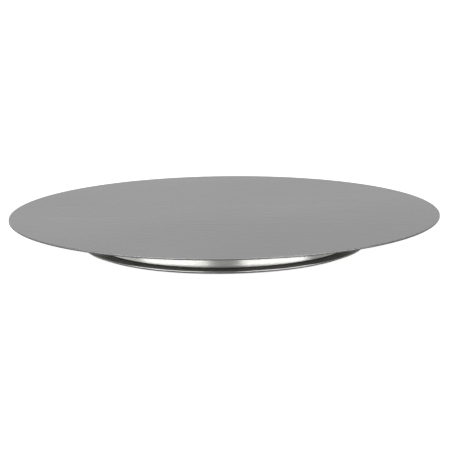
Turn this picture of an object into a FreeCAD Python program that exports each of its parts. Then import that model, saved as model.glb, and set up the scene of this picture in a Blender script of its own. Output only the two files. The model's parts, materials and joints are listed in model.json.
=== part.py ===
# Low banding wheel: a flat stainless steel disc that turns on a shallow pressed steel base.
# The disc is carried by a ring of balls between two grooved races. A spindle in a plain bush keeps
# it central and stops it lifting off. Units are millimetres. The disc turns about +Z, and the
# origin is the centre of the foot ring's underside.

import FreeCAD, Part
import math
import os

from FreeCAD import Vector

AXIS = Vector(0, 0, 1)
CENTRE = Vector(0, 0, 0)

# ---- Driving dimensions ----
DISC_DIAMETER = 300.0
DISC_THICKNESS = 1.2
OVERALL_HEIGHT = 22.5
FLANGE_DIAMETER = 196.8
FOOT_RING_DIAMETER = 188.0
BASE_SHEET = 0.6
RACE_THICKNESS = 2.0
BALL_DIAMETER = 4.76
BALL_COUNT = 16
SPINDLE_DIAMETER = 8.0

# ---- Running gaps ----
BALL_GAP = 0.12
SPINDLE_GAP = 0.04
THRUST_GAP = 0.1
FIT_GAP = 0.05

# ---- Thicknesses along the axis ----
GROOVE_DEPTH = 0.75
RECESS_DEPTH = 4.6
HOUSING_FLANGE = 2.0
HOUSING_BARREL = 4.0
BUSH_FLANGE = 1.0
THRUST_WASHER = 0.5
SPRING_WASHER_HEIGHT = 0.65
CLIP_THICKNESS = 0.8
SPINDLE_TIP = 0.75
COVER_THICKNESS = 0.8
FOOT_HEIGHT = 2.3

# ---- Heights above the table, from the disc down ----
DISC_UNDERSIDE = OVERALL_HEIGHT - DISC_THICKNESS
UPPER_RACE_FACE = DISC_UNDERSIDE - RACE_THICKNESS
BALL_CENTRE = UPPER_RACE_FACE + GROOVE_DEPTH - BALL_GAP - BALL_DIAMETER / 2
LOWER_RACE_FACE = 2 * BALL_CENTRE - UPPER_RACE_FACE
DECK_TOP = LOWER_RACE_FACE - RACE_THICKNESS
DECK_UNDERSIDE = DECK_TOP - BASE_SHEET
SHOULDER_TOP = DECK_TOP + RECESS_DEPTH
HOUSING_FLANGE_BOTTOM = DECK_UNDERSIDE - HOUSING_FLANGE
HOUSING_BOTTOM = HOUSING_FLANGE_BOTTOM - HOUSING_BARREL
THRUST_WASHER_TOP = HOUSING_BOTTOM - THRUST_GAP
SPRING_WASHER_TOP = THRUST_WASHER_TOP - THRUST_WASHER
CLIP_TOP = SPRING_WASHER_TOP - SPRING_WASHER_HEIGHT
CLIP_BOTTOM = CLIP_TOP - CLIP_THICKNESS
SPINDLE_END = CLIP_BOTTOM - SPINDLE_TIP
COVER_UNDERSIDE = 3.0
COVER_TOP = COVER_UNDERSIDE + COVER_THICKNESS
FLANGE_TOP = FOOT_HEIGHT + BASE_SHEET

# ---- Radii ----
DISC_RADIUS = DISC_DIAMETER / 2
FLANGE_RADIUS = FLANGE_DIAMETER / 2
HEM_DEPTH = 3.8
HEM_INNER_RADIUS = FLANGE_RADIUS - HEM_DEPTH
WALL_FOOT_RADIUS = 88.9
WALL_SLOPE_DEG = 8.0
RECESS_RADIUS = 75.0
RECESS_DRAFT = 1.0
FOOT_OUTER_RADIUS = FOOT_RING_DIAMETER / 2
FOOT_INNER_RADIUS = 88.6
COVER_RADIUS = 86.8
RACE_INNER_RADIUS = 50.0
RACE_OUTER_RADIUS = 72.0
BALL_CIRCLE_RADIUS = 60.0
SPINDLE_RADIUS = SPINDLE_DIAMETER / 2
SPINDLE_FLANGE_RADIUS = 22.0
BUSH_FLANGE_RADIUS = 8.0
HOUSING_BORE_RADIUS = 6.0
HOUSING_BARREL_RADIUS = 9.0
HOUSING_FLANGE_RADIUS = 20.0

# ---- Circles that parts are set out on: (count, radius, angle of the first one in degrees) ----
BALL_CIRCLE = (BALL_COUNT, BALL_CIRCLE_RADIUS, 180.0 / BALL_COUNT)
HUB_STUD_CIRCLE = (4, 16.0, 45.0)
RACE_STUD_CIRCLE = (6, 68.0, 0.0)
RACE_RIVET_CIRCLE = (6, 68.0, 30.0)
HUB_RIVET_CIRCLE = (4, 15.0, 0.0)
STANDOFF_CIRCLE = (4, 40.0, 45.0)

# ---- Fasteners: the thread's radius, its clearance hole, and the nut's width across flats and height ----
M3 = {"radius": 1.45, "hole": 1.7, "flats": 5.5, "height": 2.4}
M4 = {"radius": 1.95, "hole": 2.2, "flats": 7.0, "height": 3.2}
NUT_FACE_SHARE = 0.96
NUT_BEVEL_DEG = 30.0
STUD_END = 0.25
RIVET_RADIUS = 1.5
RIVET_HEAD_RADIUS = 2.8
RIVET_HEAD_HEIGHT = 0.9
RIVET_HEAD_RIM = 0.2
RIVET_CROWN_SHARE = 0.7
COUNTERSINK_RADIUS = 3.0
COUNTERSINK_DEPTH = COUNTERSINK_RADIUS - RIVET_RADIUS
SPIGOT_RADIUS = 2.0
SPIGOT_HEAD_RADIUS = 3.0
SPIGOT_HEAD_HEIGHT = 0.6
STANDOFF_FLATS = 7.0
TAPPED_RADIUS = 1.65
TAPPED_DEPTH = 7.0

# ---- Small edges ----
FINE_EDGE = 0.2
EDGE = 0.35
SOFT_EDGE = 0.6


# ---- Drawing helpers ----
def rounded_face(corners):
    """A flat face in the XZ plane. Each corner is (r, z) or (r, z, radius of its rounding)."""
    points = [Vector(corner[0], 0, corner[1]) for corner in corners]
    radii = [corner[2] if len(corner) > 2 else 0.0 for corner in corners]
    rounds = []
    for i, point in enumerate(points):
        if radii[i] == 0:
            rounds.append((point, None, point))
            continue
        before = (points[i - 1] - point).normalize()
        after = (points[(i + 1) % len(points)] - point).normalize()
        half_angle = before.getAngle(after) / 2
        setback = radii[i] / math.tan(half_angle)
        bisector = (before + after).normalize()
        middle = point + bisector * (radii[i] / math.sin(half_angle) - radii[i])
        rounds.append((point + before * setback, middle, point + after * setback))
    edges = []
    for i, (start, middle, end) in enumerate(rounds):
        if middle is not None:
            edges.append(Part.Arc(start, middle, end).toShape())
        following = rounds[(i + 1) % len(rounds)][0]
        edges.append(Part.LineSegment(end, following).toShape())
    return Part.Face(Part.Wire(edges))


def revolved(corners):
    """The solid swept by a profile of (r, z) corners that turns once about the Z axis."""
    solid = rounded_face(corners).revolve(CENTRE, AXIS, 360)
    if solid.Volume < 0:
        solid.reverse()
    return solid


def ring(inner, outer, bottom, top, edge):
    """A flat ring whose four edges are rounded by edge."""
    return revolved([(inner, bottom, edge), (outer, bottom, edge), (outer, top, edge), (inner, top, edge)])


def rod(radius, bottom, top):
    """A round bar that stands on the Z axis."""
    return Part.makeCylinder(radius, top - bottom, Vector(0, 0, bottom))


def sheet_corners(path, thickness):
    """Corners of a bent sheet's section. Path has the middle line's (r, z, bend radius) points."""
    points = [Vector(point[0], 0, point[1]) for point in path]
    last = len(points) - 1
    above = []
    below = []
    for i, point in enumerate(points):
        into = (points[max(i, 1)] - points[max(i, 1) - 1]).normalize()
        out_of = (points[min(i, last - 1) + 1] - points[min(i, last - 1)]).normalize()
        normal = Vector(-into.z - out_of.z, 0, into.x + out_of.x).normalize()
        offset = normal * (thickness / 2 / math.cos(into.getAngle(out_of) / 2))
        bend = path[i][2]
        turns_up = into.x * out_of.z > into.z * out_of.x
        growth = -thickness / 2 if turns_up else thickness / 2
        radius_above = bend + growth if bend else 0.0
        radius_below = bend - growth if bend else 0.0
        above.append((point.x + offset.x, point.z + offset.z, radius_above))
        below.append((point.x - offset.x, point.z - offset.z, radius_below))
    return above + below[::-1]


def round_about(shape, circle):
    """Copies of a shape that stands on the Z axis, set out around a circle."""
    count, radius, first = circle
    copies = []
    for i in range(count):
        angle = math.radians(first + 360.0 / count * i)
        copy = shape.copy()
        copy.rotate(CENTRE, AXIS, math.degrees(angle))
        copy.translate(Vector(radius * math.cos(angle), radius * math.sin(angle), 0))
        copies.append(copy)
    return copies


def drilled(shape, circle, radius):
    """The shape with a hole right through it at each place of a circle."""
    return shape.cut(round_about(rod(radius, 0, OVERALL_HEIGHT), circle))


def hexagon(flats, bottom, height):
    """An upright hexagonal bar of the given width across flats."""
    corner = flats / math.sqrt(3)
    angles = [math.radians(60 * i) for i in range(7)]
    points = [Vector(corner * math.cos(angle), corner * math.sin(angle), bottom) for angle in angles]
    return Part.Face(Part.makePolygon(points)).extrude(Vector(0, 0, height))


def hex_nut(size):
    """A hexagon nut against an upper plate, with its corners turned off on both faces."""
    corner = size["flats"] / math.sqrt(3)
    face_radius = size["flats"] / 2 * NUT_FACE_SHARE
    bevel = (corner - face_radius) * math.tan(math.radians(NUT_BEVEL_DEG))
    bore = size["radius"] + FIT_GAP
    top = UPPER_RACE_FACE
    bottom = top - size["height"]
    turned = revolved([
        (bore, bottom), (face_radius, bottom), (corner, bottom + bevel),
        (corner, top - bevel), (face_radius, top), (bore, top),
    ])
    return hexagon(size["flats"], bottom, size["height"]).common(turned)


def weld_stud(size):
    """A threaded stud welded to the disc, long enough to show just below its nut."""
    bottom = UPPER_RACE_FACE - size["height"] - STUD_END
    tip = size["radius"] - STUD_END
    return revolved([
        (0, bottom), (tip, bottom), (size["radius"], bottom + STUD_END),
        (size["radius"], DISC_UNDERSIDE), (0, DISC_UNDERSIDE),
    ])


def formed_head(face):
    """Profile corners of a rivet's low round head under a face, from the axis out to the shank."""
    crown_radius = RIVET_HEAD_RADIUS * RIVET_CROWN_SHARE
    crown = face - RIVET_HEAD_HEIGHT
    return [
        (0, crown), (crown_radius, crown, SOFT_EDGE), (RIVET_HEAD_RADIUS, face - RIVET_HEAD_RIM),
        (RIVET_HEAD_RADIUS, face), (RIVET_RADIUS, face),
    ]


# ---- The turning part ----
def turntable_disc():
    """The flat round plate that the work stands on."""
    return revolved([
        (0, DISC_UNDERSIDE), (DISC_RADIUS, DISC_UNDERSIDE, EDGE), (DISC_RADIUS, OVERALL_HEIGHT, EDGE),
        (0, OVERALL_HEIGHT),
    ])


def spindle():
    """A shaft with a mounting flange at its top and a groove for the clip near its end."""
    groove_radius = SPINDLE_RADIUS - FINE_EDGE
    end_radius = SPINDLE_RADIUS - EDGE
    body = revolved([
        (0, SPINDLE_END), (end_radius, SPINDLE_END), (SPINDLE_RADIUS, SPINDLE_END + EDGE),
        (SPINDLE_RADIUS, CLIP_BOTTOM - FIT_GAP), (groove_radius, CLIP_BOTTOM - FIT_GAP),
        (groove_radius, CLIP_TOP + FIT_GAP), (SPINDLE_RADIUS, CLIP_TOP + FIT_GAP),
        (SPINDLE_RADIUS, UPPER_RACE_FACE, SOFT_EDGE), (SPINDLE_FLANGE_RADIUS, UPPER_RACE_FACE, EDGE),
        (SPINDLE_FLANGE_RADIUS, DISC_UNDERSIDE, FINE_EDGE), (0, DISC_UNDERSIDE),
    ])
    return drilled(body, HUB_STUD_CIRCLE, M4["hole"])


def race_blank(bottom, top):
    """A flat ring with the balls' groove cut in the face that is towards the balls."""
    race = ring(RACE_INNER_RADIUS, RACE_OUTER_RADIUS, bottom, top, FINE_EDGE)
    groove_radius = BALL_DIAMETER / 2 + BALL_GAP
    return race.cut(Part.makeTorus(BALL_CIRCLE_RADIUS, groove_radius, Vector(0, 0, BALL_CENTRE), AXIS))


def upper_race():
    """The race that hangs from the disc on its studs."""
    return drilled(race_blank(UPPER_RACE_FACE, DISC_UNDERSIDE), RACE_STUD_CIRCLE, M3["hole"])


def thrust_washer():
    """The flat washer that runs against the end of the housing."""
    bore = SPINDLE_RADIUS + THRUST_GAP
    return ring(bore, BUSH_FLANGE_RADIUS, SPRING_WASHER_TOP, THRUST_WASHER_TOP, FIT_GAP)


def spring_washer():
    """A coned disc spring, which stands on the clip and presses on the thrust washer."""
    thickness = EDGE
    inner = SPINDLE_RADIUS + THRUST_GAP
    outer = BUSH_FLANGE_RADIUS - SOFT_EDGE
    return revolved([
        (inner, CLIP_TOP), (outer, SPRING_WASHER_TOP - thickness), (outer, SPRING_WASHER_TOP),
        (inner, CLIP_TOP + thickness),
    ])


def retaining_clip():
    """A spring ring in the spindle's groove, open on one side, with a drilled lug at each end."""
    inner = SPINDLE_RADIUS - FINE_EDGE + FIT_GAP / 2
    lug_radius = 1.5
    lug_hole = 0.5
    half_opening = 0.8
    lug_offset = 1.125
    outer = SPINDLE_RADIUS + lug_radius
    lug_y = half_opening + lug_offset
    clip = rod(outer, CLIP_BOTTOM, CLIP_TOP)
    for side in (1, -1):
        place = Vector(outer, side * lug_y, 0)
        clip = clip.fuse(rod(lug_radius, CLIP_BOTTOM, CLIP_TOP).translated(place))
        clip = clip.cut(rod(lug_hole, CLIP_BOTTOM, CLIP_TOP).translated(place))
    opening = Part.makeBox(2 * outer, 2 * half_opening, CLIP_THICKNESS, Vector(0, -half_opening, CLIP_BOTTOM))
    return clip.cut(rod(inner, CLIP_BOTTOM, CLIP_TOP)).cut(opening)


# ---- The ball ring ----
def ball_cage():
    """A flat ring midway between the races, with a pocket for each ball."""
    half_width = 3.7
    half_height = 0.8
    inner = BALL_CIRCLE_RADIUS - half_width
    outer = BALL_CIRCLE_RADIUS + half_width
    cage = ring(inner, outer, BALL_CENTRE - half_height, BALL_CENTRE + half_height, FINE_EDGE)
    return drilled(cage, BALL_CIRCLE, BALL_DIAMETER / 2 + BALL_GAP)


def bearing_balls():
    """The balls, midway between the races."""
    return round_about(Part.makeSphere(BALL_DIAMETER / 2, Vector(0, 0, BALL_CENTRE)), BALL_CIRCLE)


# ---- The base ----
def base_shell():
    """A pressed pan, upside down: sunk deck, round shoulder, steep wall, and a flange with a leaning hem."""
    half = BASE_SHEET / 2
    deck_bend = 1.6
    rim_bend = 1.4
    shoulder_bend = 3.0
    foot_bend = 1.8
    wall_run = (SHOULDER_TOP - FLANGE_TOP) * math.tan(math.radians(WALL_SLOPE_DEG))
    wall_foot = WALL_FOOT_RADIUS - half
    hem_bottom = FLANGE_TOP - 2 * BASE_SHEET
    hem_round = 0.43
    hem_lean = 2 * BASE_SHEET * math.tan(math.radians(WALL_SLOPE_DEG))
    path = [
        (HOUSING_BORE_RADIUS + FIT_GAP, DECK_TOP - half, 0),
        (RECESS_RADIUS - RECESS_DRAFT, DECK_TOP - half, deck_bend),
        (RECESS_RADIUS, SHOULDER_TOP - half, rim_bend),
        (wall_foot - wall_run, SHOULDER_TOP - half, shoulder_bend),
        (wall_foot, FLANGE_TOP - half, foot_bend),
        (FLANGE_RADIUS - BASE_SHEET, FLANGE_TOP - half, 0),
    ]
    sheet = revolved(sheet_corners(path, BASE_SHEET))
    hem = revolved([
        (HEM_INNER_RADIUS, hem_bottom), (FLANGE_RADIUS, hem_bottom, hem_round),
        (FLANGE_RADIUS - hem_lean, FLANGE_TOP, hem_round), (HEM_INNER_RADIUS, FLANGE_TOP),
    ])
    shell = sheet.fuse(hem).removeSplitter()
    shell = drilled(shell, HUB_RIVET_CIRCLE, RIVET_RADIUS + FIT_GAP)
    shell = drilled(shell, RACE_RIVET_CIRCLE, RIVET_RADIUS + FIT_GAP)
    return drilled(shell, STANDOFF_CIRCLE, SPIGOT_RADIUS + FIT_GAP)


def foot_ring():
    """The soft ring that the wheel stands on, under the flange and inside its hem."""
    root_taper = 1.9
    return revolved([
        (FOOT_INNER_RADIUS, 0, SOFT_EDGE), (FOOT_OUTER_RADIUS, 0, SOFT_EDGE),
        (FOOT_OUTER_RADIUS + FINE_EDGE, FOOT_HEIGHT), (FOOT_INNER_RADIUS + root_taper, FOOT_HEIGHT),
    ])


def hub_housing():
    """A flanged sleeve under the deck that holds the bush."""
    root_radius = 1.2
    body = revolved([
        (HOUSING_BORE_RADIUS, HOUSING_BOTTOM), (HOUSING_BARREL_RADIUS, HOUSING_BOTTOM, EDGE),
        (HOUSING_BARREL_RADIUS, HOUSING_FLANGE_BOTTOM, root_radius),
        (HOUSING_FLANGE_RADIUS, HOUSING_FLANGE_BOTTOM, EDGE),
        (HOUSING_FLANGE_RADIUS, DECK_UNDERSIDE), (HOUSING_BORE_RADIUS, DECK_UNDERSIDE),
    ])
    return drilled(body, HUB_RIVET_CIRCLE, RIVET_RADIUS + FIT_GAP)


def spindle_bush():
    """A plain bearing that is pressed into the housing, with a flange on top of the deck."""
    bore = SPINDLE_RADIUS + SPINDLE_GAP
    outer = HOUSING_BORE_RADIUS - FIT_GAP / 2
    flange_top = DECK_TOP + BUSH_FLANGE
    return revolved([
        (bore, HOUSING_BOTTOM), (outer, HOUSING_BOTTOM), (outer, DECK_TOP), (BUSH_FLANGE_RADIUS, DECK_TOP),
        (BUSH_FLANGE_RADIUS, flange_top, EDGE), (bore, flange_top, FINE_EDGE),
    ])


def hub_rivets():
    """Round-headed rivets through the deck and the housing's flange."""
    lower = formed_head(HOUSING_FLANGE_BOTTOM)
    both_faces = DECK_TOP + HOUSING_FLANGE_BOTTOM
    upper = [(corner[0], both_faces - corner[1], *corner[2:]) for corner in lower[::-1]]
    return round_about(revolved(lower + upper), HUB_RIVET_CIRCLE)


def lower_race():
    """The race on the deck, countersunk for its rivets."""
    hole = RIVET_RADIUS + FIT_GAP
    cone_radius = COUNTERSINK_RADIUS + FIT_GAP
    countersunk = revolved([
        (0, 0), (hole, 0), (hole, LOWER_RACE_FACE - COUNTERSINK_DEPTH), (cone_radius, LOWER_RACE_FACE),
        (cone_radius, OVERALL_HEIGHT), (0, OVERALL_HEIGHT),
    ])
    return race_blank(DECK_TOP, LOWER_RACE_FACE).cut(round_about(countersunk, RACE_RIVET_CIRCLE))


def race_rivets():
    """Rivets that are flush with the lower race and formed over under the deck."""
    flush_head = [
        (RIVET_RADIUS, LOWER_RACE_FACE - COUNTERSINK_DEPTH), (COUNTERSINK_RADIUS, LOWER_RACE_FACE),
        (0, LOWER_RACE_FACE),
    ]
    return round_about(revolved(formed_head(DECK_UNDERSIDE) + flush_head), RACE_RIVET_CIRCLE)


def cover_standoffs():
    """Tapped hexagon posts that hang from the deck, each held by a spigot formed over on top of it."""
    head_top = DECK_TOP + SPIGOT_HEAD_HEIGHT
    post = hexagon(STANDOFF_FLATS, COVER_TOP, DECK_UNDERSIDE - COVER_TOP)
    spigot = revolved([
        (0, DECK_UNDERSIDE - SOFT_EDGE), (SPIGOT_RADIUS, DECK_UNDERSIDE - SOFT_EDGE),
        (SPIGOT_RADIUS, DECK_TOP), (SPIGOT_HEAD_RADIUS, DECK_TOP), (SPIGOT_HEAD_RADIUS, head_top, EDGE),
        (0, head_top),
    ])
    tapped = rod(TAPPED_RADIUS, COVER_TOP, COVER_TOP + TAPPED_DEPTH)
    return round_about(post.fuse(spigot).cut(tapped), STANDOFF_CIRCLE)


def bottom_cover():
    """A thin plate that closes the base from below, stiffened by a round bead near its edge."""
    middle = COVER_UNDERSIDE + COVER_THICKNESS / 2
    bead_inner = 62.0
    bead_outer = 72.0
    bead_slope = 2.0
    bead_height = 1.2
    bend = 1.5
    path = [
        (0, middle, 0), (bead_inner, middle, bend), (bead_inner + bead_slope, middle + bead_height, bend),
        (bead_outer - bead_slope, middle + bead_height, bend), (bead_outer, middle, bend),
        (COVER_RADIUS, middle, 0),
    ]
    return drilled(revolved(sheet_corners(path, COVER_THICKNESS)), STANDOFF_CIRCLE, M4["hole"])


def cover_screws():
    """Pan head screws with a cross recess, driven up through the cover into the standoffs."""
    head_radius = 3.8
    head_height = 2.0
    crown_radius = 2.4
    head_rim = 0.6
    length = 6.0
    slot_length = 4.0
    slot_width = 0.8
    slot_depth = 1.2
    thread_radius = TAPPED_RADIUS - FIT_GAP
    head_bottom = COVER_UNDERSIDE - head_height
    screw = revolved([
        (0, head_bottom), (crown_radius, head_bottom, SOFT_EDGE), (head_radius, COVER_UNDERSIDE - head_rim),
        (head_radius, COVER_UNDERSIDE), (thread_radius, COVER_UNDERSIDE),
        (thread_radius, COVER_UNDERSIDE + length), (0, COVER_UNDERSIDE + length),
    ])
    for along_x, along_y in ((slot_length, slot_width), (slot_width, slot_length)):
        corner = Vector(-along_x / 2, -along_y / 2, head_bottom)
        screw = screw.cut(Part.makeBox(along_x, along_y, slot_depth, corner))
    return round_about(screw, STANDOFF_CIRCLE)


# ---- Nodes ----
def nodes():
    """Every node's name and its list of solids."""
    made = {
        "turntable_disc": [turntable_disc()],
        "spindle": [spindle()],
        "hub_studs": round_about(weld_stud(M4), HUB_STUD_CIRCLE),
        "hub_nuts": round_about(hex_nut(M4), HUB_STUD_CIRCLE),
        "upper_race": [upper_race()],
        "race_studs": round_about(weld_stud(M3), RACE_STUD_CIRCLE),
        "race_nuts": round_about(hex_nut(M3), RACE_STUD_CIRCLE),
        "thrust_washer": [thrust_washer()],
        "spring_washer": [spring_washer()],
        "retaining_clip": [retaining_clip()],
        "ball_cage": [ball_cage()],
        "base_shell": [base_shell()],
        "foot_ring": [foot_ring()],
        "hub_housing": [hub_housing()],
        "hub_rivets": hub_rivets(),
        "spindle_bush": [spindle_bush()],
        "lower_race": [lower_race()],
        "race_rivets": race_rivets(),
        "bottom_cover": [bottom_cover()],
        "cover_screws": cover_screws(),
    }
    for number, ball in enumerate(bearing_balls(), start=1):
        made[f"bearing_ball_{number:02d}"] = [ball]
    for number, standoff in enumerate(cover_standoffs(), start=1):
        made[f"cover_standoff_{number}"] = [standoff]
    return made


os.makedirs("parts", exist_ok=True)
for name, pieces in nodes().items():
    shape = Part.makeCompound([solid for piece in pieces for solid in piece.Solids])
    print(f"{name}: {len(shape.Solids)} solids, {shape.Volume:.1f} mm3, valid {shape.isValid()}")
    shape.exportStep(f"parts/{name}.step")
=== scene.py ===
"""Looks of the low banding wheel: smooth turned shells, brushed and spun metals, studio light and camera."""
import json
import math

import bpy
from mathutils import Matrix, Vector


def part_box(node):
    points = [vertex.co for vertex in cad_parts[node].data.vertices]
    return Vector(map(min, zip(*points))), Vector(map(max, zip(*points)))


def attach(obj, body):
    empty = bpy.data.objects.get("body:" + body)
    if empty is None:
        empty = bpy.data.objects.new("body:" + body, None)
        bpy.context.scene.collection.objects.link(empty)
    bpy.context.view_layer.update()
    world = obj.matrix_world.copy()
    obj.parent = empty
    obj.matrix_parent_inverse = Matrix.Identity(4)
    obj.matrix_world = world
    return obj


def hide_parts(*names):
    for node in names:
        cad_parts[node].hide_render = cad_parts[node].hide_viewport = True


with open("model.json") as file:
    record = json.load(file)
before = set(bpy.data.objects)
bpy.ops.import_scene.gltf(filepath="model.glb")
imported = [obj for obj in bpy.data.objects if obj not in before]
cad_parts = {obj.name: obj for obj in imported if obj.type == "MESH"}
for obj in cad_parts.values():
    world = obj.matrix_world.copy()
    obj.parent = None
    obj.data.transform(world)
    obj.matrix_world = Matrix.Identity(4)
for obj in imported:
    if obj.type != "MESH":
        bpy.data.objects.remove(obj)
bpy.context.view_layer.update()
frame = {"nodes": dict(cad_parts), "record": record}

MM = 0.001
MICRON = 0.000001
DISC_LOW, DISC_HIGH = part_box("turntable_disc")
SHELL_LOW, SHELL_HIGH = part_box("base_shell")
FOOT_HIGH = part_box("foot_ring")[1]

# ---- The base shell's section, in millimetres ----
SHEET = 0.6
HEM_FOLD_GAP = 0.04
HEM_DEPTH = 3.8
HEM_ROUND = 0.43
HEM_BURR = 0.08
DECK_HOLE_RADIUS = 6.05
DECK_BELOW_SHOULDER = 4.6
RECESS_RADIUS = 75.0
RECESS_DRAFT = 1.0
WALL_FOOT_RADIUS = 88.9
WALL_SLOPE = math.radians(8.0)
WALL_LEAN = math.tan(WALL_SLOPE)
FLARE_LEAN = math.tan(math.radians(16.0))
FLARE_HEIGHT = 1.8
BENDS = {"deck": 1.6, "rim": 1.4, "shoulder": 3.0, "flare": 14.0, "foot": 0.9}

# ---- The disc's and the foot ring's sections, in millimetres ----
DISC_EDGE = 0.35
FOOT_WIDTH = 5.6
FOOT_ROOT_WIDTH = 3.7
FOOT_TAPER = 0.2
FOOT_EDGE = 0.6
FOOT_ROOT_EDGE = 0.05

# ---- Mesh fineness: steps around a piece and along its arcs, then lengths in millimetres ----
RIM_STEPS = 480
ARC_STEP = math.radians(7.5)
FEWEST_ARC_STEPS = 4
SUPPORT = 0.1
SUPPORTED_RUN = 5 * SUPPORT
ON_AXIS = 0.01

# ---- Edge wear: its width on sharp edges in metres, and the largest marked rounding in millimetres ----
RUBBED_WIDTH = 0.0003
RUBBED_ROUNDING = 0.5
RUBBED_MARK = "rubbed"


# ==== Mesh helpers ====
def rounded_outline(corners):
    """Points of a closed outline whose corners are (r, z, radius of the rounding), in millimetres.

    Each point comes as ((r, z), rubbed), where rubbed is 1 on the small roundings and 0 elsewhere.
    """
    outline = []
    for i, (r, z, radius) in enumerate(corners):
        corner = Vector((r, z))
        if radius == 0:
            outline.append((corner, 0.0))
            continue
        before = (Vector(corners[i - 1][:2]) - corner).normalized()
        after = (Vector(corners[(i + 1) % len(corners)][:2]) - corner).normalized()
        half_angle = before.angle(after) / 2
        centre = corner + (before + after).normalized() * (radius / math.sin(half_angle))
        spoke = corner + before * (radius / math.tan(half_angle)) - centre
        sweep = math.pi - 2 * half_angle
        if before.x * after.y - before.y * after.x > 0:
            sweep = -sweep
        steps = max(FEWEST_ARC_STEPS, math.ceil(abs(sweep) / ARC_STEP))
        for step in range(steps + 1):
            rubbed = 1.0 if radius <= RUBBED_ROUNDING and 0 < step < steps else 0.0
            outline.append((centre + Matrix.Rotation(sweep * step / steps, 2) @ spoke, rubbed))
    return outline


def with_supports(outline):
    """The outline with a point close to each end of its long runs, which keeps smooth shading flat there."""
    supported = []
    for i, (point, rubbed) in enumerate(outline):
        following = outline[(i + 1) % len(outline)][0]
        run = following - point
        supported.append((point, rubbed))
        if run.length > SUPPORTED_RUN:
            supported.append((point + run.normalized() * SUPPORT, 0.0))
            supported.append((following - run.normalized() * SUPPORT, 0.0))
    return supported


def sheet_sides(path, thickness):
    """The corners above and below a bent sheet. Path has the middle line's (r, z, bend radius) points."""
    points = [Vector(point[:2]) for point in path]
    last = len(points) - 1
    above = []
    below = []
    for i, point in enumerate(points):
        into = (points[max(i, 1)] - points[max(i, 1) - 1]).normalized()
        out_of = (points[min(i, last - 1) + 1] - points[min(i, last - 1)]).normalized()
        normal = Vector((-into.y - out_of.y, into.x + out_of.x)).normalized()
        offset = normal * (thickness / 2 / math.cos(into.angle(out_of) / 2))
        bend = path[i][2]
        growth = thickness / 2 * (-1 if into.x * out_of.y > into.y * out_of.x else 1)
        above.append((*(point + offset), bend + growth if bend else 0))
        below.append((*(point - offset), bend - growth if bend else 0))
    return above, below


def turned_piece(name, corners):
    """A closed mesh turned about Z from (r, z, rounding) corners in millimetres, with a flat XY map."""
    outline = with_supports(rounded_outline(corners))
    verts = []
    marks = []
    rings = []
    for point, rubbed in outline:
        if point.x < ON_AXIS:
            rings.append([len(verts)] * RIM_STEPS)
            verts.append((0, 0, point.y * MM))
            marks.append(rubbed)
            continue
        rings.append(list(range(len(verts), len(verts) + RIM_STEPS)))
        marks.extend([rubbed] * RIM_STEPS)
        for step in range(RIM_STEPS):
            angle = 2 * math.pi * step / RIM_STEPS
            verts.append((point.x * MM * math.cos(angle), point.x * MM * math.sin(angle), point.y * MM))
    faces = []
    for ring, following in zip(rings, rings[1:] + rings[:1]):
        for step in range(RIM_STEPS):
            beside = (step + 1) % RIM_STEPS
            corner_ids = [ring[step], ring[beside], following[beside], following[step]]
            face = [v for i, v in enumerate(corner_ids) if v != corner_ids[i - 1]]
            if len(face) > 2:
                faces.append(face)
    mesh = bpy.data.meshes.new(name)
    mesh.from_pydata(verts, [], faces)
    mesh.polygons.foreach_set("use_smooth", [True] * len(mesh.polygons))
    mesh.attributes.new(RUBBED_MARK, "FLOAT", "POINT").data.foreach_set("value", marks)
    flat_map = mesh.uv_layers.new(name="flat")
    for loop in mesh.loops:
        flat_map.data[loop.index].uv = mesh.vertices[loop.vertex_index].co.xy / (2 * DISC_HIGH.x)
    mesh.validate()
    piece = bpy.data.objects.new(name, mesh)
    bpy.context.scene.collection.objects.link(piece)
    return piece


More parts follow.
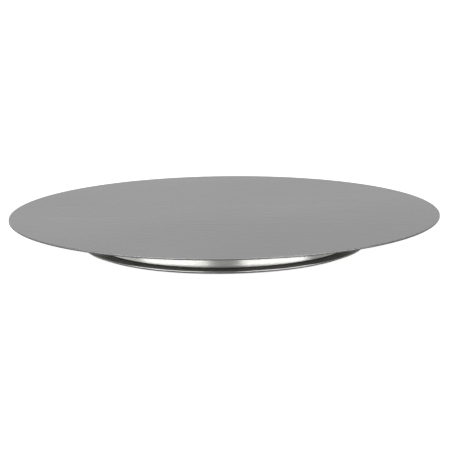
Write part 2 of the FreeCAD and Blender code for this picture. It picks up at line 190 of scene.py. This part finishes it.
# ==== Node helpers ====
class Finish:
    """A material under construction: a Principled shader and short calls that add nodes to it."""

    def __init__(self, name):
        self.material = bpy.data.materials.new(name)
        self.material.use_nodes = True
        self.tree = self.material.node_tree
        self.shader = self.tree.nodes["Principled BSDF"]

    def set(self, **values):
        """Sets the shader's own sockets, by name with _ for a space."""
        for socket, value in values.items():
            self.shader.inputs[socket.replace("_", " ")].default_value = value
        return self

    def node(self, kind, inputs=(), **settings):
        """A new node with its settings, and its inputs given as (socket, value or output) pairs."""
        made = self.tree.nodes.new(kind)
        for key, value in settings.items():
            setattr(made, key, value)
        for socket, value in inputs:
            if isinstance(value, bpy.types.NodeSocket):
                self.tree.links.new(value, made.inputs[socket])
            else:
                made.inputs[socket].default_value = value
        return made

    def place(self):
        """The point on the piece, in metres, which turns with the piece."""
        return self.node("ShaderNodeTexCoord").outputs["Object"]

    def maths(self, operation, first, second):
        """One operation on two values."""
        made = self.node("ShaderNodeMath", [(0, first), (1, second)], operation=operation)
        return made.outputs[0]

    def stretched(self, scale):
        """The place, scaled differently along each axis."""
        return self.node("ShaderNodeMapping", [("Vector", self.place()), ("Scale", scale)]).outputs[0]

    def around(self, fineness, drift):
        """A point that changes fast across turning lines, and slowly along them."""
        place = self.place()
        flatten = self.node("ShaderNodeVectorMath", [(0, place), (1, (1, 1, 0))], operation="MULTIPLY")
        flat = flatten.outputs[0]
        radius = self.node("ShaderNodeVectorMath", [(0, flat)], operation="LENGTH").outputs["Value"]
        height = self.node("ShaderNodeSeparateXYZ", [(0, place)]).outputs["Z"]
        heading = self.node("ShaderNodeVectorMath", [(0, flat)], operation="NORMALIZE").outputs[0]
        heading = self.node("ShaderNodeSeparateXYZ", [(0, heading)])
        across = self.maths("MULTIPLY", self.maths("SUBTRACT", radius, height), fineness)
        along_x = self.maths("MULTIPLY", heading.outputs["X"], drift)
        along_y = self.maths("MULTIPLY", heading.outputs["Y"], drift)
        return self.node("ShaderNodeCombineXYZ", [(0, across), (1, along_x), (2, along_y)]).outputs[0]

    def noise(self, vector, scale=1.0, detail=3.0, roughness=0.5):
        """Soft noise of about 0 to 1, with scale cells to the metre."""
        made = self.node("ShaderNodeTexNoise", [
            ("Vector", vector), ("Scale", scale), ("Detail", detail), ("Roughness", roughness),
        ])
        return made.outputs["Fac"]

    def ranged(self, value, low, high, span=(0.3, 0.7)):
        """The value's span spread over low to high."""
        made = self.node("ShaderNodeMapRange", [
            ("Value", value), ("From Min", span[0]), ("From Max", span[1]), ("To Min", low), ("To Max", high),
        ])
        return made.outputs["Result"]

    def blend(self, factor, first, second):
        """A colour between two colours."""
        made = self.node("ShaderNodeMix", data_type="RGBA")
        colours = [socket for socket in made.inputs if socket.type == "RGBA"]
        for socket, value in zip([made.inputs["Factor"], *colours], (factor, first, second)):
            if isinstance(value, bpy.types.NodeSocket):
                self.tree.links.new(value, socket)
            else:
                socket.default_value = value
        return next(socket for socket in made.outputs if socket.type == "RGBA")

    def worn(self, colour, edge_colour):
        """The colour, changed along edges, which get rubbed: sharp ones, and roundings marked in the mesh."""
        rubbed_to_clean = (0.8, 0.98)
        least_worn = 0.6
        softened = self.node("ShaderNodeBevel", [("Radius", RUBBED_WIDTH)], samples=8).outputs["Normal"]
        normal = self.node("ShaderNodeNewGeometry").outputs["Normal"]
        level = self.node("ShaderNodeVectorMath", [(0, softened), (1, normal)], operation="DOT_PRODUCT")
        sharp = self.ranged(level.outputs["Value"], 1.0, 0.0, span=rubbed_to_clean)
        rounded = self.node("ShaderNodeAttribute", attribute_name=RUBBED_MARK).outputs["Fac"]
        uneven = self.ranged(self.noise(self.place(), scale=60, detail=4), least_worn, 1.0)
        wear = self.maths("MAXIMUM", sharp, self.maths("MULTIPLY", rounded, uneven))
        return self.blend(wear, colour, edge_colour)

    def colour(self, value):
        """Links the shader's colour."""
        self.tree.links.new(value, self.shader.inputs["Base Color"])
        return self

    def roughness(self, value):
        """Links the shader's roughness."""
        self.tree.links.new(value, self.shader.inputs["Roughness"])
        return self

    def bump(self, height, microns):
        """Relief of the given depth."""
        made = self.node("ShaderNodeBump", [("Height", height), ("Distance", microns * MICRON)])
        self.tree.links.new(made.outputs[0], self.shader.inputs["Normal"])
        return self

    def grain_direction(self, **settings):
        """The direction of the finish's lines. Highlights are drawn out across them, by a quarter turn."""
        self.set(Anisotropic_Rotation=0.25)
        made = self.node("ShaderNodeTangent", **settings)
        self.tree.links.new(made.outputs[0], self.shader.inputs["Tangent"])
        return self


def tone(value, warmth=0.0):
    """A grey, pulled towards yellow by warmth."""
    return (value, value, value * (1 - warmth), 1)


# ==== Materials ====
def brushed_stainless():
    """Fine straight lines along X."""
    fine_cells = (14, 2400, 2400)
    streak_cells = (3, 640, 640)
    patch_share = 0.3
    finish = Finish("brushed_stainless").set(Metallic=1.0, Anisotropic=0.25)
    fine = finish.noise(finish.stretched(fine_cells), detail=3)
    streak = finish.noise(finish.stretched(streak_cells), detail=4)
    patch = finish.noise(finish.place(), scale=7)
    lines = finish.maths("MULTIPLY", finish.maths("ADD", fine, streak), 0.5)
    shade = finish.blend(finish.ranged(lines, 0, 1), tone(0.45), tone(0.57))
    finish.colour(finish.worn(shade, tone(0.7)))
    smudged = finish.maths("ADD", lines, finish.maths("MULTIPLY", patch, patch_share))
    finish.roughness(finish.ranged(smudged, 0.2, 0.29))
    finish.bump(lines, microns=1.5)
    return finish.grain_direction(direction_type="UV_MAP", uv_map="flat").material


def rolled_sheet(name, dark, light, smooth, rough):
    """The dull face of a rolled sheet: a faint straight grain and a slight mottle."""
    grain_cells = (30, 1500, 1500)
    warmth = 0.02
    rubbed_gain = 1.15
    finish = Finish(name).set(Metallic=1.0)
    grain = finish.noise(finish.stretched(grain_cells), detail=3)
    mottle = finish.noise(finish.place(), scale=25, detail=4)
    shade = finish.blend(finish.ranged(mottle, 0, 1), tone(dark, warmth), tone(light, warmth))
    finish.colour(finish.worn(shade, tone(light * rubbed_gain)))
    finish.roughness(finish.ranged(grain, smooth, rough))
    return finish.bump(grain, microns=2).material


def satin_stainless():
    """Pressed and polished, with faint lines around the axis."""
    cloud_share = 0.4
    finish = Finish("satin_stainless").set(Metallic=1.0, Anisotropic=0.5)
    lines = finish.noise(finish.around(fineness=2600, drift=5), detail=3)
    cloud = finish.noise(finish.place(), scale=30, detail=4)
    shade = finish.blend(finish.ranged(lines, 0, 1), tone(0.62, warmth=0.05), tone(0.68, warmth=0.05))
    finish.colour(finish.worn(shade, tone(0.74, warmth=0.03)))
    smudged = finish.maths("ADD", lines, finish.maths("MULTIPLY", cloud, cloud_share))
    finish.roughness(finish.ranged(smudged, 0.2, 0.28))
    finish.bump(lines, microns=1)
    return finish.grain_direction(direction_type="RADIAL", axis="Z").material


def turned_metal(name, dark, light, warmth, smooth, rough, lines_per_metre):
    """Metal with fine turning lines around the axis."""
    stain_share = 0.25
    stain_tone = 0.7
    rubbed_gain = 1.12
    finish = Finish(name).set(Metallic=1.0)
    lines = finish.noise(finish.around(lines_per_metre, drift=3), detail=2)
    stain = finish.noise(finish.place(), scale=90, detail=5)
    shade = finish.blend(finish.ranged(lines, 0, 1), tone(dark, warmth), tone(light, warmth))
    shade = finish.blend(finish.ranged(stain, 0, stain_share), shade, tone(dark * stain_tone, warmth))
    finish.colour(finish.worn(shade, tone(light * rubbed_gain, warmth)))
    finish.roughness(finish.ranged(lines, smooth, rough))
    return finish.bump(lines, microns=3).material


def mottled_metal(name, dark, light, edge, smooth, rough, scale):
    """Plated or blackened metal: a soft mottle, and bare metal where the edges are rubbed."""
    finer = 8
    finish = Finish(name).set(Metallic=1.0)
    mottle = finish.noise(finish.place(), scale=scale, detail=6, roughness=0.6)
    fine = finish.noise(finish.place(), scale=scale * finer, detail=3)
    shade = finish.blend(finish.ranged(mottle, 0, 1), dark, light)
    finish.colour(finish.worn(shade, edge))
    finish.roughness(finish.ranged(mottle, smooth, rough))
    return finish.bump(fine, microns=6).material


def sintered_bronze():
    """Pressed powder bronze, with open pores."""
    dark = (0.42, 0.24, 0.10, 1)
    light = (0.62, 0.40, 0.18, 1)
    rubbed = (0.78, 0.55, 0.28, 1)
    finish = Finish("bush_bronze").set(Metallic=1.0)
    cells = finish.node("ShaderNodeTexVoronoi", [("Vector", finish.place()), ("Scale", 3200)])
    pores = cells.outputs["Distance"]
    grain = finish.noise(finish.place(), scale=900, detail=4)
    shade = finish.blend(finish.ranged(grain, 0, 1), dark, light)
    finish.colour(finish.worn(shade, rubbed))
    finish.roughness(finish.ranged(pores, 0.5, 0.32, span=(0.0, 0.5)))
    return finish.bump(pores, microns=20).material


def moulded(name, dark, light, edge, smooth, rough, scale, microns):
    """Plastic or rubber with a fine moulded grain, paler where it is rubbed."""
    finish = Finish(name).set(Metallic=0.0)
    grain = finish.noise(finish.place(), scale=scale, detail=4)
    cloud = finish.noise(finish.place(), scale=60, detail=4)
    shade = finish.blend(finish.ranged(cloud, 0, 1), dark, light)
    finish.colour(finish.worn(shade, edge))
    finish.roughness(finish.ranged(grain, smooth, rough))
    return finish.bump(grain, microns).material


FINISHES = {
    "brushed_stainless": brushed_stainless(),
    "satin_stainless": satin_stainless(),
    "cover_steel": rolled_sheet("cover_steel", dark=0.45, light=0.50, smooth=0.32, rough=0.42),
    "turned_steel": turned_metal(
        "turned_steel", dark=0.52, light=0.64, warmth=0.02, smooth=0.2, rough=0.32, lines_per_metre=5000),
    "race_steel": turned_metal(
        "race_steel", dark=0.38, light=0.50, warmth=0.04, smooth=0.16, rough=0.3, lines_per_metre=6000),
    "housing_aluminium": turned_metal(
        "housing_aluminium", dark=0.62, light=0.74, warmth=0, smooth=0.25, rough=0.38, lines_per_metre=4000),
    "bearing_steel": mottled_metal(
        "bearing_steel", dark=tone(0.66), light=tone(0.76), edge=tone(0.8),
        smooth=0.05, rough=0.1, scale=300),
    "zinc_plated_steel": mottled_metal(
        "zinc_plated_steel", dark=(0.50, 0.53, 0.57, 1), light=(0.64, 0.66, 0.68, 1), edge=tone(0.74),
        smooth=0.22, rough=0.38, scale=700),
    "spring_steel": mottled_metal(
        "spring_steel", dark=tone(0.03), light=tone(0.07), edge=tone(0.4), smooth=0.3, rough=0.5, scale=900),
    "bush_bronze": sintered_bronze(),
    "cage_plastic": moulded(
        "cage_plastic", dark=(0.66, 0.64, 0.56, 1), light=(0.78, 0.76, 0.69, 1), edge=(0.86, 0.85, 0.8, 1),
        smooth=0.4, rough=0.55, scale=2500, microns=10),
    "foot_rubber": moulded(
        "foot_rubber", dark=tone(0.48, warmth=0.02), light=tone(0.57, warmth=0.02), edge=tone(0.66),
        smooth=0.5, rough=0.7, scale=2200, microns=20),
}
# The disc's underside: a real mill finish, but its darker tone is painted shade. It stands in for the shade
# under the disc, which the base mirrors.
MILL_FINISH_WITH_PAINTED_SHADE = rolled_sheet("mill_finish_with_painted_shade", dark=0.41, light=0.45, smooth=0.25, rough=0.33)


# ==== Pieces ====
def turntable_disc():
    """The disc: brushed on top and round its edge, and below a mill finish darkened with painted shade."""
    facing_down = -0.9
    radius = DISC_HIGH.x / MM
    top = DISC_HIGH.z / MM
    bottom = DISC_LOW.z / MM
    disc = turned_piece("turntable_disc_turned", [
        (0, bottom, 0), (radius, bottom, DISC_EDGE), (radius, top, DISC_EDGE), (0, top, 0),
    ])
    disc.data.materials.append(FINISHES["brushed_stainless"])
    disc.data.materials.append(MILL_FINISH_WITH_PAINTED_SHADE)
    for face in disc.data.polygons:
        face.material_index = 1 if face.normal.z < facing_down else 0
    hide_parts("turntable_disc")
    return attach(disc, "turntable")


def base_shell():
    """The pressed pan as one folded sheet, with a wall that flares at its foot and a closed hem."""
    half = SHEET / 2
    shoulder = SHELL_HIGH.z / MM
    deck = shoulder - DECK_BELOW_SHOULDER
    hem_bottom = SHELL_LOW.z / MM
    flange = hem_bottom + 2 * SHEET
    hem_lean = 2 * SHEET * WALL_LEAN
    # The rounding takes this much off the hem's sharp corner, which lies outside the shell's box.
    corner_cut = HEM_ROUND * (WALL_LEAN + 1 / math.cos(WALL_SLOPE) - 1)
    rim = SHELL_HIGH.x / MM + corner_cut
    wall_foot = WALL_FOOT_RADIUS - half
    wall_run = (shoulder - flange) * WALL_LEAN
    above, below = sheet_sides([
        (DECK_HOLE_RADIUS, deck - half, 0),
        (RECESS_RADIUS - RECESS_DRAFT, deck - half, BENDS["deck"]),
        (RECESS_RADIUS, shoulder - half, BENDS["rim"]),
        (wall_foot - wall_run, shoulder - half, BENDS["shoulder"]),
        (wall_foot - FLARE_HEIGHT * WALL_LEAN, flange - half + FLARE_HEIGHT, BENDS["flare"]),
        (wall_foot + FLARE_HEIGHT * (FLARE_LEAN - WALL_LEAN), flange - half, BENDS["foot"]),
        (rim - SHEET, flange - half, 0),
    ], SHEET)
    hem_inner = rim - HEM_DEPTH
    hem_top = flange - SHEET - HEM_FOLD_GAP
    hem = [
        (rim - hem_lean, flange, HEM_ROUND), (rim, hem_bottom, HEM_ROUND), (hem_inner, hem_bottom, HEM_BURR),
        (hem_inner, hem_top, HEM_BURR), (rim - SHEET, hem_top, 0), (rim - SHEET, flange - SHEET, 0),
    ]
    shell = turned_piece("base_shell_folded", above[:-1] + hem + below[-2::-1])
    shell.data.materials.append(FINISHES["satin_stainless"])
    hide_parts("base_shell")
    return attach(shell, "base")


def foot_ring():
    """The soft ring under the flange."""
    outer = FOOT_HIGH.x / MM
    height = FOOT_HIGH.z / MM
    foot = turned_piece("foot_ring_moulded", [
        (outer - FOOT_WIDTH, 0, FOOT_EDGE), (outer - FOOT_TAPER, 0, FOOT_EDGE),
        (outer, height, FOOT_ROOT_EDGE), (outer - FOOT_ROOT_WIDTH, height, FOOT_ROOT_EDGE),
    ])
    foot.data.materials.append(FINISHES["foot_rubber"])
    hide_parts("foot_ring")
    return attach(foot, "base")


def finish_cad_nodes():
    """Every CAD node that stays gets the finish of its material slot."""
    for part in frame["record"]["subparts"]:
        mesh = frame["nodes"][part["node"]].data
        mesh.materials.clear()
        mesh.materials.append(FINISHES[part["material_slot"]])


# ==== Studio ====
def floor():
    """A plain pale floor. Seen directly it is white with a soft shadow, and the metal mirrors it darker."""
    reach = 9.0
    dark = tone(0.90)
    light = tone(0.92)
    lift = 0.93
    mirrored_tone = 0.42
    finish = Finish("pale_floor").set(Roughness=0.9, Specular_IOR_Level=0.1)
    cloud = finish.noise(finish.place(), scale=3, detail=4)
    finish.colour(finish.blend(finish.ranged(cloud, 0, 1), dark, light))
    glow = finish.node("ShaderNodeEmission", [("Strength", lift)])
    lifted = finish.node("ShaderNodeAddShader", [(0, finish.shader.outputs[0]), (1, glow.outputs[0])])
    mirrored = finish.node("ShaderNodeBsdfDiffuse", [("Color", tone(mirrored_tone))])
    direct = finish.node("ShaderNodeLightPath").outputs["Is Camera Ray"]
    seen = finish.node("ShaderNodeMixShader", [(0, direct), (1, mirrored.outputs[0]), (2, lifted.outputs[0])])
    output = finish.tree.nodes["Material Output"]
    finish.tree.links.new(seen.outputs[0], output.inputs["Surface"])
    mesh = bpy.data.meshes.new("floor")
    corners = [(-reach, -reach, 0), (reach, -reach, 0), (reach, reach, 0), (-reach, reach, 0)]
    mesh.from_pydata(corners, [], [(0, 1, 2, 3)])
    mesh.materials.append(finish.material)
    plane = bpy.data.objects.new("floor", mesh)
    bpy.context.scene.collection.objects.link(plane)


def panel_light(name, place, aim, width, height, radiance):
    """A flat light at place, turned towards aim, that looks equally bright from everywhere in front of it."""
    light = bpy.data.lights.new(name, "AREA")
    light.shape = "RECTANGLE"
    light.size = width
    light.size_y = height
    light.energy = radiance * math.pi * width * height
    panel = bpy.data.objects.new(name, light)
    panel.location = place
    panel.rotation_euler = (Vector(aim) - Vector(place)).to_track_quat("-Z", "Y").to_euler()
    panel.visible_camera = False
    bpy.context.scene.collection.objects.link(panel)


def room():
    """A grey room, brighter near the horizon, behind the wheel and on the left. Heights are sines."""
    horizon_height = 0.08
    dim_height = 0.32
    horizon_strength = 0.88
    dim_strength = 0.22
    brighter_towards = (-0.25, 0.2, 0)
    world = bpy.data.worlds.new("room")
    world.use_nodes = True
    nodes = world.node_tree.nodes
    links = world.node_tree.links
    heading = nodes.new("ShaderNodeTexCoord").outputs["Generated"]
    height = nodes.new("ShaderNodeSeparateXYZ")
    links.new(heading, height.inputs[0])
    by_height = nodes.new("ShaderNodeMapRange")
    links.new(height.outputs["Z"], by_height.inputs["Value"])
    by_height.inputs["From Min"].default_value = horizon_height
    by_height.inputs["From Max"].default_value = dim_height
    by_height.inputs["To Min"].default_value = horizon_strength
    by_height.inputs["To Max"].default_value = dim_strength
    slant = nodes.new("ShaderNodeVectorMath")
    slant.operation = "DOT_PRODUCT"
    slant.inputs[1].default_value = brighter_towards
    links.new(heading, slant.inputs[0])
    by_side = nodes.new("ShaderNodeMath")
    by_side.operation = "ADD"
    by_side.inputs[1].default_value = 1
    links.new(slant.outputs["Value"], by_side.inputs[0])
    both = nodes.new("ShaderNodeMath")
    both.operation = "MULTIPLY"
    links.new(by_height.outputs["Result"], both.inputs[0])
    links.new(by_side.outputs[0], both.inputs[1])
    links.new(both.outputs[0], nodes["Background"].inputs["Strength"])
    nodes["Background"].inputs["Color"].default_value = (1, 1, 1, 1)
    bpy.context.scene.world = world


def studio():
    """The room, a low softbox each side of the camera, and a large soft light overhead."""
    room()
    distance = 1.6
    low = 0.02
    high = 0.25
    width = 1.9
    off_camera_deg = 45
    overhead_y = -0.4
    overhead_height = 2.0
    overhead_size = 2.4
    for side, name, radiance in ((-1, "softbox_left", 3.1), (1, "softbox_right", 3.75)):
        turn = math.radians(side * off_camera_deg)
        place = (distance * math.sin(turn), -distance * math.cos(turn), (low + high) / 2)
        panel_light(name, place, (0, 0, place[2]), width, high - low, radiance)
    above = (0, overhead_y, overhead_height)
    below = (0, overhead_y, 0)
    panel_light("overhead", above, below, overhead_size, overhead_size, radiance=0.7)


def camera():
    """A long lens low over the table, rolled slightly, that looks just under the disc."""
    distance = 1.5
    elevation = math.radians(11.0)
    roll = math.radians(-0.7)
    aim_right = 0.00116
    aim_down = 0.00892
    lens_camera = bpy.data.cameras.new("camera")
    lens_camera.lens = 171.06
    lens_camera.sensor_width = 36
    lens_camera.clip_start = 0.1
    lens_camera.clip_end = 50
    seer = bpy.data.objects.new("camera", lens_camera)
    back = Vector((0, -math.cos(elevation), math.sin(elevation)))
    up = Vector((0, math.sin(elevation), math.cos(elevation)))
    disc_centre = Vector((0, 0, DISC_HIGH.z))
    seer.location = disc_centre + back * distance
    aim = disc_centre + Vector((aim_right, 0, 0)) - up * aim_down - seer.location
    seer.rotation_mode = "QUATERNION"
    turned = aim.to_track_quat("-Z", "Y").to_matrix() @ Matrix.Rotation(roll, 3, "Z")
    seer.rotation_quaternion = turned.to_quaternion()
    bpy.context.scene.collection.objects.link(seer)
    bpy.context.scene.camera = seer


bpy.context.scene.view_settings.view_transform = "Standard"
camera()
finish_cad_nodes()
turntable_disc()
base_shell()
foot_ring()
floor()
studio()

bpy.context.view_layer.update()
